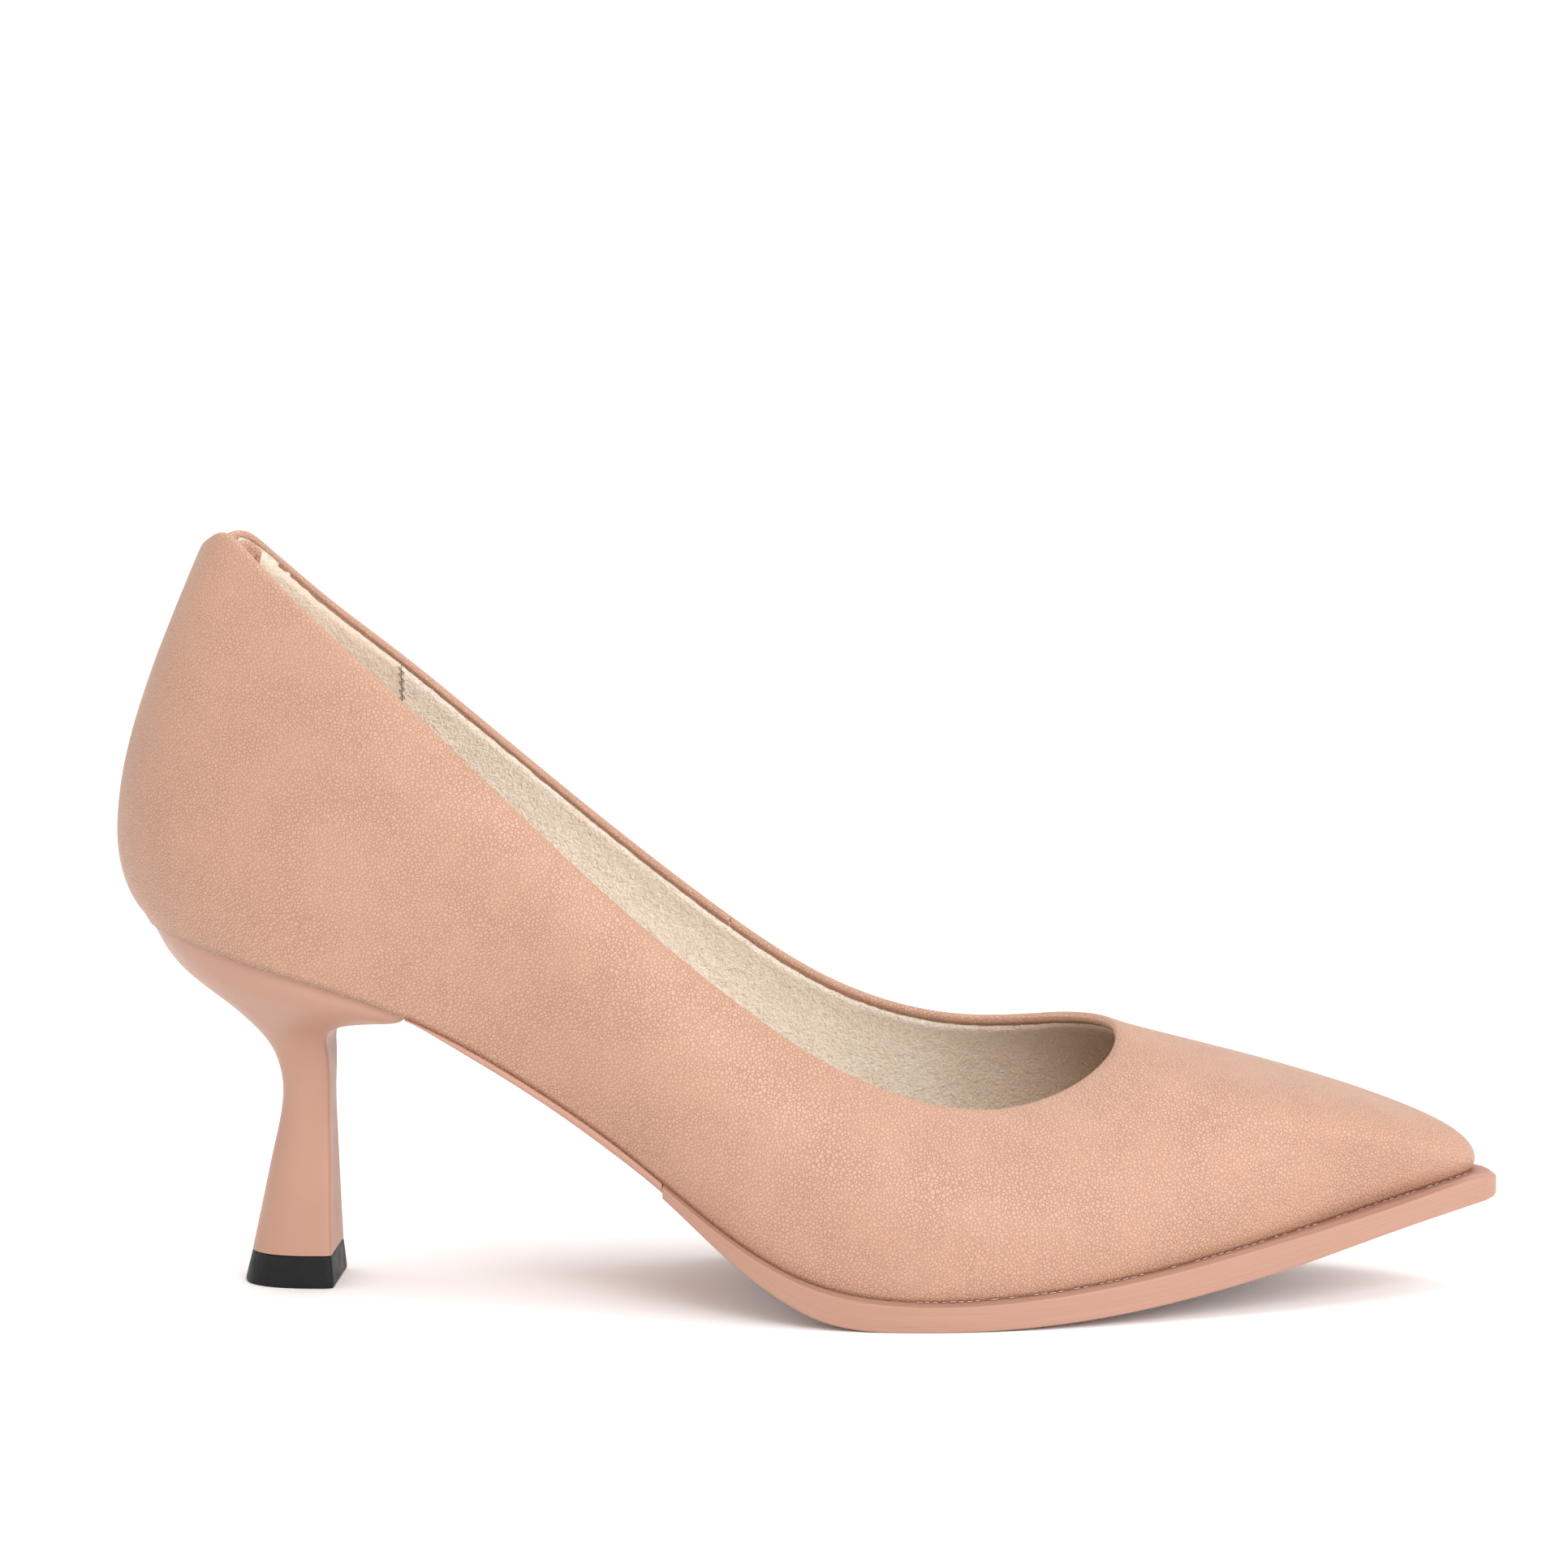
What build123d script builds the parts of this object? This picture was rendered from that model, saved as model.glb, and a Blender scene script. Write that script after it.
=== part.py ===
from build123d import *
import os
import numpy as np

os.makedirs("parts", exist_ok=True)

# A right-foot pointed pump, 260 mm long, on a 64 mm flared heel. Millimetres, heel to toe along +X,
# inner side of the foot +Y, up +Z. The origin is on the floor under the middle of the overall box.

# ---- driving dimensions ----
HEEL_Y = 4.9            # the heel's centre plane, from the middle of the overall width
LEATHER = 1.2           # upper leather
STIFFENER = (1.25, 1.95)    # toe puff, counter, interlining and tape, as depths below the outer skin
LINING = (2.0, 2.8)
FACING = (2.85, 3.5)
MARGIN = 10             # lasting margin turned in under the insole
INSOLE = (1.6, 3.6)     # heights above the feather line from here on
SHANK_BOARD = (0.1, 1.35)
FOAM = (3.65, 5.05)
SOCK = (5.1, 5.9)
SOLE_TOP = -0.1
HEEL_GAP = 0.35         # glue line over the heel and the waist cover
BACK_DIP = 1.8          # fall of the topline between the back seam and its two peaks
WAIST_END = -26         # x of the step between forepart sole and waist cover
BREAST = -74            # x of the heel's front lip
TOP_PIECE = 6.2         # height of the heel's top piece
SHANK = (-97, -8, 11, 1.0)      # steel shank: from x, to x, width, thickness
RIVETS = [-89, -18]             # x of the rivets through the shank
TUBE = (-95.3, 5.0, 3.0, 48)    # steel tube in the heel: x, outside, bore, top
SCREW = (-105, 4.0, 8.0, 14)    # heel screw: x, shank, head, length
NAIL = (2.0, 4.2, 8)            # heel nails: shank, head, length
NAILS = [(-111, -5.5), (-111, 5.5), (-86, -13), (-86, 13)]
PLAY = 0.05                     # clearance round every fastener

# Height of the feather line, where the upper meets the sole, along the length
SEAT = [(-131, 72.2), (-100, 63.4), (-74, 54.6), (-50, 41.6), (-30, 28.2), (-14, 16.2),
        (0, 8.8), (14, 5.9), (30, 5.6), (60, 8.6), (95, 15.6), (131, 24.0)]

# Underside of the sole along the length
GROUND = [(-74, 54.1), (-65, 48.6), (-50, 39.4), (-36, 29.8), (-26, 22.2), (-14, 11.9),
          (-6, 6.1), (2, 2.0), (10, 0.3), (20, 0.01), (31, 0.1), (45, 0.8), (60, 2.4), (75, 5.0), (91, 8.6),
          (107, 12.8), (130, 17.7)]

# The upper, as ribs from the back seam round the outer side, the toe and the inner side. Each rib is a
# Bezier arch from the feather line to the topline:
# feather x, y; topline x, y, z; rise and swell of its foot; reach and drop of its shoulder
RIBS = np.array([
    (-125.0, 0.0, -114.2, 0.0, 139.2, 12, 12.4, 13, 28),     # back seam
    (-121.0, -13.5, -109.4, -9.2, 142.8, 13, 10, 12, 28),
    (-108.0, -23.5, -95.0, -17.2, 131.0, 14, 6, 10, 26),
    (-88.0, -27.0, -79.0, -21.8, 117.0, 14, 5, 10, 22),
    (-62.0, -26.0, -58.5, -25.0, 98.0, 14, 4, 9, 18),
    (-36.0, -29.5, -37.0, -27.3, 78.0, 13, 4, 9, 16),
    (-12.0, -37.5, -14.0, -28.8, 59.0, 12, 4, 9, 13),
    (14.0, -42.6, 6.0, -29.2, 45.8, 11, 4, 10, 10),
    (40.0, -40.4, 24.0, -27.5, 39.0, 10, 4, 12, 8),
    (66.0, -32.4, 38.0, -22.5, 37.8, 10, 4, 16, 6),
    (90.0, -22.4, 48.5, -15.5, 40.2, 9, 4, 24, 6),
    (110.0, -13.2, 55.0, -8.5, 43.6, 9, 4, 34, 8),
    (122.5, -7.6, 57.8, -3.0, 46.6, 9, 4, 42, 10),
    (126.2, -2.4, 58.6, 2.0, 48.9, 9.5, 3, 46, 12),          # toe
    (122.5, 2.8, 58.0, 7.0, 49.6, 9, 4, 42, 11),
    (110.0, 9.2, 55.0, 12.0, 49.9, 9, 4, 34, 10),
    (90.0, 19.0, 48.0, 18.0, 49.5, 9, 4, 24, 10),
    (64.0, 29.0, 37.0, 23.0, 48.3, 10, 4, 16, 10),
    (38.0, 32.6, 22.0, 25.8, 49.2, 11, 4, 12, 11),
    (12.0, 29.5, 4.0, 27.0, 55.2, 12, 4, 9, 13),
    (-14.0, 24.0, -15.0, 27.2, 67.0, 13, 4, 9, 15),          # side seam
    (-38.0, 22.5, -37.0, 26.8, 83.8, 14, 4, 9, 17),
    (-62.0, 24.5, -58.5, 25.0, 101.6, 14, 4, 9, 19),
    (-88.0, 26.5, -79.0, 22.0, 118.8, 14, 5, 10, 22),
    (-108.0, 23.5, -95.0, 17.2, 131.8, 14, 6, 10, 26),
    (-121.0, 13.5, -109.4, 9.2, 143.0, 13, 10, 12, 28),
])
RING = len(RIBS)
SIDE_SEAM = 20          # rib of the seam between vamp and inner quarter
SEAM = 0.006            # half the seam gap, in ribs

# Middle of the sole along the length
CENTRE = [(-104, 0), (-60, -1), (-12, -6.7), (14, -6.5), (40, -3.9), (66, -1.7), (100, -2)]

# Sole outline: outer side, squared toe, inner side
SOLE_OUTER = [(-26, -33.6), (-12, -38.6), (14, -43.8), (40, -41.8), (66, -34.4), (90, -25.6), (110, -17.2),
              (128, -7.4)]
SOLE_INNER = [(128, 3.4), (110, 13.0), (90, 22.0), (64, 31.0), (38, 34.4), (12, 31.0), (-14, 25.3), (-26, 24.0)]
TOE_TIP = 130.4

# Heel sections from the seat to the floor: front x, z; back x, z; half width of the flat front, and of
# the rounded back
HEEL = np.array([
    (-71.8, 58.6, -127.2, 75.5, 25.6, 26.2),
    (-73.6, 54.1, -123.5, 68.4, 25.2, 25.4),
    (-76.6, 52.4, -118.6, 61.0, 22.8, 21.6),
    (-83.5, 51.3, -110.6, 54.2, 17.0, 15.4),
    (-89.4, 49.2, -105.3, 49.2, 10.6, 10.0),
    (-90.6, 44.5, -101.8, 44.4, 6.8, 6.6),
    (-90.5, 37.6, -100.1, 37.6, 5.3, 5.3),
    (-90.4, 27.0, -101.6, 27.0, 6.1, 6.0),
    (-90.2, 16.0, -104.0, 16.0, 7.6, 7.4),
    (-90.0, TOP_PIECE, -106.1, TOP_PIECE, 9.1, 8.8),
])


# ---- shape functions ----
def spline(knots):
    """A natural cubic through (x, value) pairs."""
    x, v = np.array(knots, float).T
    h = np.diff(x)
    a = np.eye(len(x))
    r = np.zeros(len(x))
    for i in range(1, len(x) - 1):
        a[i, i - 1:i + 2] = h[i - 1], 2 * (h[i - 1] + h[i]), h[i]
        r[i] = 6 * ((v[i + 1] - v[i]) / h[i] - (v[i] - v[i - 1]) / h[i - 1])
    c = np.linalg.solve(a, r)

    def value(q):
        i = int(np.clip(np.searchsorted(x, q) - 1, 0, len(h) - 1))
        p, q, w = x[i + 1] - q, q - x[i], h[i]
        return (c[i] * p**3 + c[i + 1] * q**3) / (6 * w) + (v[i] / w - c[i] * w / 6) * p \
            + (v[i + 1] / w - c[i + 1] * w / 6) * q
    return value


seat = spline(SEAT)
ground = spline(GROUND)
centre = spline(CENTRE)

EYE = np.eye(RING)
BEND = np.linalg.solve(4 * EYE + np.roll(EYE, 1, 0) + np.roll(EYE, -1, 0),
                       6 * (np.roll(RIBS, -1, 0) - 2 * RIBS + np.roll(RIBS, 1, 0)))


def rib(s):
    """The rib at s, a closed cubic spline through the table."""
    i, b = int(np.floor(s)) % RING, s - np.floor(s)
    a, j = 1 - b, (i + 1) % RING
    return a * RIBS[i] + b * RIBS[j] + ((a**3 - a) * BEND[i] + (b**3 - b) * BEND[j]) / 6


def arch(s, t):
    """A point of the outer skin: t runs from the feather line, 0, to the topline, 1."""
    fx, fy, tx, ty, tz, rise, swell, reach, drop = rib(s)
    along = rib(s + 0.001) - rib(s - 0.001)
    out = np.array([along[1], -along[0], 0]) / np.hypot(along[0], along[1])
    up = np.array([0, 0, 1])
    foot = np.array([fx, fy + HEEL_Y, seat(fx)])
    back = min(s % RING, -s % RING)
    dip = BACK_DIP * np.sin(np.pi * back)**2 if back < 1 else 0
    top = np.array([tx, ty + HEEL_Y, tz - dip])
    return (1 - t)**3 * foot + 3 * (1 - t)**2 * t * (foot + rise * up + swell * out) \
        + 3 * (1 - t) * t**2 * (top + reach * out - drop * up) + t**3 * top


def skin(s, t, depth=0.0):
    """A point at a depth under the outer skin."""
    e = 0.001
    across = arch(s, min(t + e, 1)) - arch(s, max(t - e, 0))
    normal = np.cross(arch(s + e, t) - arch(s - e, t), across)
    return arch(s, t) - depth * normal / np.linalg.norm(normal)


def foot(s, depth, height):
    """The t at which a layer stands a given height above the feather line."""
    low, high = 0.0, 0.6
    for _ in range(24):
        t = (low + high) / 2
        p = skin(s, t, depth)
        if p[2] - seat(p[0]) < height:
            low = t
        else:
            high = t
    return high


def crown(s, depth, below):
    """The t at which a layer ends a given distance short of the topline."""
    low, high = 0.5, 1.0
    edge = arch(s, 1)
    for _ in range(20):
        t = (low + high) / 2
        if np.linalg.norm(arch(s, t) - edge) > below:
            low = t
        else:
            high = t
    return low


def inset(s, amount, most=0.68):
    """A plan point a given distance in from the feather line, towards the sole's middle."""
    fx, fy = rib(s)[:2]
    middle = np.array([np.clip(fx, -104, 100), centre(np.clip(fx, -104, 100))])
    way = middle - (fx, fy)
    reach = np.hypot(*way)
    x, y = (fx, fy) + way * min(amount / reach, most)
    return x, y + HEEL_Y


# ---- builders ----
def surface(rows):
    return Face.make_surface_from_array_of_points([[Vector(*p) for p in row] for row in rows],
                                                  tol=0.01, min_deg=3, max_deg=3)


def side(face, start, end):
    """The edge of a face between two of its corners."""
    start, end = Vector(*start), Vector(*end)
    return min(face.edges(), key=lambda e: min((e @ 0 - start).length + (e @ 1 - end).length,
                                               (e @ 1 - start).length + (e @ 0 - end).length))


def bridge(one, two):
    return Face.make_surface_from_curves(one, two)


def sheet(s0, s1, depths, low, high, margin=0):
    """A curved sheet between two depths, from rib s0 to s1, with its lower and upper limits given as
    functions of (s, depth). With a margin, its foot is turned in under the insole."""
    stations = np.linspace(s0, s1, int(abs(s1 - s0) * 4) + 7)
    walls = []
    for depth in depths:
        rows = []
        for s in stations:
            bottom = 0 if margin and depth == depths[0] else low(s, depth)
            rows.append([skin(s, t, depth) for t in np.linspace(bottom, high(s, depth), 15)])
        walls.append((surface(rows), rows))
    (outer, a), (inner, b) = walls
    ends = [[side(f, r[i][0], r[i][-1]) for f, r in walls] for i in (0, -1)]
    tops = [side(f, r[0][-1], r[-1][-1]) for f, r in walls]
    feet = [side(f, r[0][0], r[-1][0]) for f, r in walls]
    faces = [outer, inner, bridge(*tops)] + [bridge(*e) for e in ends]
    if margin:
        flat = [inset(s, margin) for s in stations]
        rims = [Edge.make_spline([Vector(x, y, seat(x) + height) for x, y in flat])
                for height in (0, depths[1])]
        soles = [bridge(f, r) for f, r in zip(feet, rims)]
        faces += soles + [bridge(*rims)]
        for i in (0, -1):
            corners = [(a[i][0], rims[0] @ (-i)), (b[i][0], rims[1] @ (-i))]
            faces.append(bridge(*[side(f, p, tuple(q)) for f, (p, q) in zip(soles, corners)]))
    else:
        faces.append(bridge(*feet))
    return Solid(Shell(faces))


def above(height):
    return lambda x: seat(x) + height


def band(low, high, x0, x1):
    """A slab across the shoe between two profiles given as functions of x."""
    xs = np.linspace(x0, x1, int((x1 - x0) / 7) + 4)
    with BuildPart() as slab:
        with BuildSketch(Plane.XZ):
            with BuildLine():
                over = Spline([(x, high(x)) for x in xs])
                under = Spline([(x, low(x)) for x in xs])
                Line(over @ 0, under @ 0)
                Line(over @ 1, under @ 1)
            make_face()
        extrude(amount=60, both=True)
    return slab.part


def layer(edge, low, high, x0, x1, most=0.68):
    """A layer of the bottom, its outline a given distance in from the feather line."""
    with BuildPart() as piece:
        with BuildSketch():
            with BuildLine():
                Spline([inset(s, edge, most) for s in np.arange(0, RING, 0.5)], periodic=True)
            make_face()
        extrude(amount=90)
        add(band(low, high, x0, x1), mode=Mode.INTERSECT)
    return piece.part


def seat_plane(x, height):
    """A plane square to the seat on the sole's middle line."""
    slope = seat(x + 0.5) - seat(x - 0.5)
    middle = Plane((x, centre(x) + HEEL_Y, seat(x)), x_dir=(1, 0, slope), z_dir=(-slope, 0, 1))
    return middle.offset(height / np.hypot(1, slope))


def upright(x, y, height):
    return Plane((x, y + HEEL_Y, seat(x) + height))


def save(piece, label):
    piece.part.label = label
    export_step(piece.part, f"parts/{label}.step")


# ---- fasteners ----
with BuildPart() as shank_rivets:
    for x in RIVETS:
        with Locations(seat_plane(x, SHANK_BOARD[0])):
            Cylinder(1.6, INSOLE[1] - 0.8, align=(Align.CENTER, Align.CENTER, Align.MIN))
        with Locations(seat_plane(x, INSOLE[1] - 0.75)):
            Cylinder(3.0, 0.6, align=(Align.CENTER, Align.CENTER, Align.MIN))
save(shank_rivets, "shank_rivets")

with BuildPart() as heel_screw:
    with Locations(upright(SCREW[0], 0, INSOLE[1] - 1.5)):
        Cylinder(SCREW[2] / 2, 1.4, align=(Align.CENTER, Align.CENTER, Align.MAX))
        Cylinder(SCREW[1] / 2, SCREW[3] - 2, align=(Align.CENTER, Align.CENTER, Align.MAX))
    with Locations(upright(SCREW[0], 0, INSOLE[1] - 1.5 - SCREW[3] + 2)):
        Cone(0.3, SCREW[1] / 2, 2, align=(Align.CENTER, Align.CENTER, Align.MAX))
    with Locations(upright(SCREW[0], 0, INSOLE[1] - 1.5)):
        Box(5.5, 1, 1.6, mode=Mode.SUBTRACT)
        Box(1, 5.5, 1.6, mode=Mode.SUBTRACT)
save(heel_screw, "heel_screw")

with BuildPart() as heel_nails:
    for x, y in NAILS:
        with Locations(upright(x, y, INSOLE[1] - 0.8)):
            Cylinder(NAIL[1] / 2, 0.5, align=(Align.CENTER, Align.CENTER, Align.MAX))
            Cylinder(NAIL[0] / 2, NAIL[2], align=(Align.CENTER, Align.CENTER, Align.MAX))
save(heel_nails, "heel_nails")


def fastener_holes(r=PLAY):
    """The room the screw, nails and rivets take, with play all round."""
    with BuildPart() as room:
        with Locations(upright(SCREW[0], 0, INSOLE[1] - 2.9 - r)):
            Cylinder(SCREW[2] / 2 + r, 6, align=(Align.CENTER, Align.CENTER, Align.MIN))
        with Locations(upright(SCREW[0], 0, INSOLE[1] - 1.5)):
            Cylinder(SCREW[1] / 2 + r, SCREW[3] + r, align=(Align.CENTER, Align.CENTER, Align.MAX))
        for x, y in NAILS:
            with Locations(upright(x, y, INSOLE[1] - 1.3 - r)):
                Cylinder(NAIL[1] / 2 + r, 3, align=(Align.CENTER, Align.CENTER, Align.MIN))
            with Locations(upright(x, y, INSOLE[1] - 0.8)):
                Cylinder(NAIL[0] / 2 + r, NAIL[2] + r, align=(Align.CENTER, Align.CENTER, Align.MAX))
        for x in RIVETS:
            with Locations(seat_plane(x, -0.4)):
                Cylinder(1.6 + r, 5, align=(Align.CENTER, Align.CENTER, Align.MIN))
            with Locations(seat_plane(x, INSOLE[1] - 0.75 - r)):
                Cylinder(3.0 + r, 3, align=(Align.CENTER, Align.CENTER, Align.MIN))
    return room.part


# ---- upper ----
def whole(s, depth):
    return 1


def rest(s, depth):
    return foot(s, depth, INSOLE[0])


def to_topline(below):
    return lambda s, depth: crown(s, depth, below)


with BuildPart() as vamp:
    add(sheet(SEAM, SIDE_SEAM - SEAM, (0, LEATHER), lambda s, d: foot(s, d, LEATHER), whole, MARGIN))
save(vamp, "vamp")

with BuildPart() as inner_quarter:
    add(sheet(SIDE_SEAM + SEAM, RING - SEAM, (0, LEATHER), lambda s, d: foot(s, d, LEATHER), whole, MARGIN))
save(inner_quarter, "inner_quarter")

SHEETS = {
    "toe_puff": (9.5, 16.5, STIFFENER, rest, lambda s, d: 0.55),
    "heel_counter": (RING - 4.4, RING + 4.4, STIFFENER, rest, to_topline(12)),
    "interlining_outer": (4.5, 9.4, STIFFENER, rest, to_topline(7)),
    "interlining_inner": (16.6, RING - 4.5, STIFFENER, rest, to_topline(7)),
    "interlining_vamp": (9.5, 16.5, STIFFENER, lambda s, d: 0.56, to_topline(7)),
    "topline_tape": (0.02, RING - 0.02, STIFFENER, to_topline(6.5), to_topline(0.8)),
    "vamp_lining": (3.02, RING - 3.02, LINING, rest, to_topline(2)),
    "heel_grip_lining": (RING - 2.98, RING + 2.98, LINING, rest, to_topline(2)),
    "back_facing": (RING - 1.35, RING + 1.35, FACING, lambda s, d: 0.8, to_topline(1.4)),
}
for label, (s0, s1, depths, low, high) in SHEETS.items():
    with BuildPart() as piece:
        add(sheet(s0, s1, depths, low, high))
    save(piece, label)

# ---- bottom ----
def shank_strip(play, low, high):
    """The strip the shank fills, round-ended, with play round its sides."""
    ends = [Vector(x, centre(x) + HEEL_Y) for x in (SHANK[0] + SHANK[2] / 2, SHANK[1] - SHANK[2] / 2)]
    with BuildPart() as strip:
        with BuildSketch():
            with BuildLine():
                Line(*ends)
            trace(line_width=SHANK[2] + 2 * play)
            with Locations(*ends):
                Circle(SHANK[2] / 2 + play)
        extrude(amount=90)
        add(band(low, high, SHANK[0] - 2, SHANK[1] + 2), mode=Mode.INTERSECT)
    return strip.part


with BuildPart() as steel_shank:
    add(shank_strip(0, above(INSOLE[0]), above(INSOLE[0] + SHANK[3])))
    add(fastener_holes(), mode=Mode.SUBTRACT)
save(steel_shank, "steel_shank")

with BuildPart() as insole_board:
    add(layer(4.0, above(INSOLE[0]), above(INSOLE[1]), -130, 130))
    add(shank_strip(0.1, above(0), above(INSOLE[0] + SHANK[3] + PLAY)), mode=Mode.SUBTRACT)
    add(fastener_holes(), mode=Mode.SUBTRACT)
save(insole_board, "insole_board")

with BuildPart() as shank_board:
    add(layer(MARGIN + 0.6, above(SHANK_BOARD[0]), above(SHANK_BOARD[1]), -125, -3))
    add(fastener_holes(), mode=Mode.SUBTRACT)
save(shank_board, "shank_board")

with BuildPart() as bottom_filler:
    add(layer(MARGIN + 0.8, above(-0.05), above(1.5), -2, 125, 0.74))
save(bottom_filler, "bottom_filler")

with BuildPart() as footbed_foam:
    add(layer(2.8, above(FOAM[0]), above(FOAM[1]), -130, 112))
save(footbed_foam, "footbed_foam")

with BuildPart() as sock_lining:
    add(layer(2.2, above(SOCK[0]), above(SOCK[1]), -130, 116))
save(sock_lining, "sock_lining")

with BuildPart() as outsole:
    with BuildSketch():
        with BuildLine():
            outer = Spline([(x, y + HEEL_Y) for x, y in SOLE_OUTER])
            inner = Spline([(x, y + HEEL_Y) for x, y in SOLE_INNER])
            tip_outer = Line(outer @ 1, (TOE_TIP, (outer @ 1).Y + 2.2))
            tip_inner = Line((TOE_TIP, (inner @ 0).Y - 2.2), inner @ 0)
            Line(tip_outer @ 1, tip_inner @ 0)
            Line(inner @ 1, outer @ 0)
        make_face()
    extrude(amount=90)
    add(band(ground, above(SOLE_TOP), WAIST_END, 131), mode=Mode.INTERSECT)
    add(layer(5.8, lambda x: ground(x) - 1, lambda x: ground(x) + 0.85, -14, 104), mode=Mode.SUBTRACT)
save(outsole, "outsole")

with BuildPart() as tread_patch:
    add(layer(6, ground, lambda x: ground(x) + 0.8, -13.8, 103.8))
save(tread_patch, "tread_patch")

def waist_floor(x):
    """The waist cover's lower face, a little above the forepart sole where they meet."""
    return min(ground(x) + 0.05 + 0.6 * max(x + 60, 0)**2 / 1156, seat(x) - 0.8)


with BuildPart() as waist_cover:
    add(layer(-0.6, waist_floor, above(-HEEL_GAP), BREAST + 0.5, WAIST_END - 0.1))
save(waist_cover, "waist_cover")


# ---- heel ----
def dee(plane, length, front, back):
    """A flat-fronted section with a rounded back."""
    with BuildSketch(plane) as section:
        with BuildLine():
            Line((0, -front), (0, front))
            Bezier((0, front), (0.5 * length, 1.1 * front), (length, 0.9 * back), (length, 0))
            Bezier((length, 0), (length, -0.9 * back), (0.5 * length, -1.1 * front), (0, -front))
        make_face()
    return section.sketch.face()


fall = np.concatenate([[0], np.cumsum(np.hypot(*np.diff(HEEL[:, :4], axis=0).reshape(-1, 2, 2).sum(1).T))])
flow = [spline(np.column_stack([fall, column])) for column in HEEL.T]
with BuildPart() as heel_block:
    sections = []
    for u in np.linspace(0, fall[-1], 28):
        fx, fz, bx, bz, front, back = [column(u) for column in flow]
        plane = Plane((fx, HEEL_Y, fz), x_dir=(bx - fx, 0, bz - fz), z_dir=(bz - fz, 0, fx - bx))
        sections.append(dee(plane, np.hypot(bx - fx, bz - fz), front, back))
    loft(sections)
    add(band(above(-HEEL_GAP), above(40), -140, -60), mode=Mode.SUBTRACT)
    with Locations(Plane((TUBE[0], HEEL_Y, 0))):
        Cylinder(TUBE[1] / 2 + PLAY, TUBE[3] + PLAY, align=(Align.CENTER, Align.CENTER, Align.MIN),
                 mode=Mode.SUBTRACT)
    add(fastener_holes(), mode=Mode.SUBTRACT)
save(heel_block, "heel_block")

with BuildPart() as heel_tube:
    with BuildSketch(Plane.XY.offset(TOP_PIECE)):
        with Locations((TUBE[0], HEEL_Y)):
            Circle(TUBE[1] / 2)
            Circle(TUBE[2] / 2, mode=Mode.SUBTRACT)
    extrude(amount=TUBE[3] - TOP_PIECE)
save(heel_tube, "heel_tube")

with BuildPart() as top_piece_pin:
    with BuildSketch(Plane.XY.offset(2.4)):
        with Locations((TUBE[0], HEEL_Y)):
            Circle(3.6)
    extrude(amount=1.2)
    with BuildSketch(Plane.XY.offset(2.4)):
        with Locations((TUBE[0], HEEL_Y)):
            Circle(TUBE[2] / 2 - PLAY)
    extrude(amount=15)
    chamfer(top_piece_pin.faces().sort_by(Axis.Z)[-1].edges(), 0.5)
save(top_piece_pin, "top_piece_pin")

with BuildPart() as top_piece:
    floor_section = dee(Plane((-89.4, HEEL_Y, 0), x_dir=(-1, 0, 0)), 18.2, 9.7, 9.4)
    seat_section = dee(Plane((-90, HEEL_Y, TOP_PIECE - 0.05), x_dir=(-1, 0, 0)), 16.1, 9.1, 8.8)
    loft([floor_section, seat_section])
    add(top_piece_pin.part, mode=Mode.SUBTRACT)
    with Locations((-89.4, HEEL_Y + 4.5, 0)):
        Box(2.4, 5, 4.4, mode=Mode.SUBTRACT)
save(top_piece, "top_piece")
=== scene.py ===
"""A blush leather pump, right foot, seen from its outer side.

Lengths in the shape tables are in millimetres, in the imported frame: heel to toe along +X, inner side +Y,
floor at z = 0. The heel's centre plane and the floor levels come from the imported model's own boxes.
"""
import math

import bpy
import numpy as np
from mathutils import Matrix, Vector, noise


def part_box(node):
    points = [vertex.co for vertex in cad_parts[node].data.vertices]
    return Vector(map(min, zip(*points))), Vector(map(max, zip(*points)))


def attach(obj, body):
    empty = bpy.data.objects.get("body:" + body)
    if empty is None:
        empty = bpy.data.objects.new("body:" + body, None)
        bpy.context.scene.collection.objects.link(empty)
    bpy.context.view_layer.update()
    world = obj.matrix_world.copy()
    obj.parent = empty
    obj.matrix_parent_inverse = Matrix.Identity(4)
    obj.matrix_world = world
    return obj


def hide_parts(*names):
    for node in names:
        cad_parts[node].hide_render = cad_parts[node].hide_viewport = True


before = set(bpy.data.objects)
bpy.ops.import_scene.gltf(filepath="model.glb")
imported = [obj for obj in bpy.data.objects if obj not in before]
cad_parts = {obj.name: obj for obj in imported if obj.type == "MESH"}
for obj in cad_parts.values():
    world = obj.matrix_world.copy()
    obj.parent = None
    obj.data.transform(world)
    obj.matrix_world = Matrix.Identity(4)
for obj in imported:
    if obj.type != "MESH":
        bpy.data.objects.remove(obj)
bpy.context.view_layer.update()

MM = 0.001
top_low, top_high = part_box("top_piece")
HEEL_Y = (top_low[1] + top_high[1]) / 2 / MM
HEEL_FOOT = top_high[2] / MM + 0.05
SKIN = 1.2                      # thickness of the upper leather
LINING = (2.02, 2.8)            # depths of the lining's two faces under the outer skin
FACING = (2.84, 3.5)            # the same for the back facing
ROLL = 1.0                      # radius of the folded topline
LASTED = 0.6                    # how far the leather runs down past the feather line
SOCK_TOP = 5.9                  # height of the sock's rim over the feather line
SOCK = 0.4                      # thickness of the sock
PAD = (3.7, 4.85)               # heights of the pad's two faces over the feather line
HEEL_GAP = 0.35                 # between the waist cover and the feather line
WAIST_X = (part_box("waist_cover")[0][0] / MM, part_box("waist_cover")[1][0] / MM)

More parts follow.
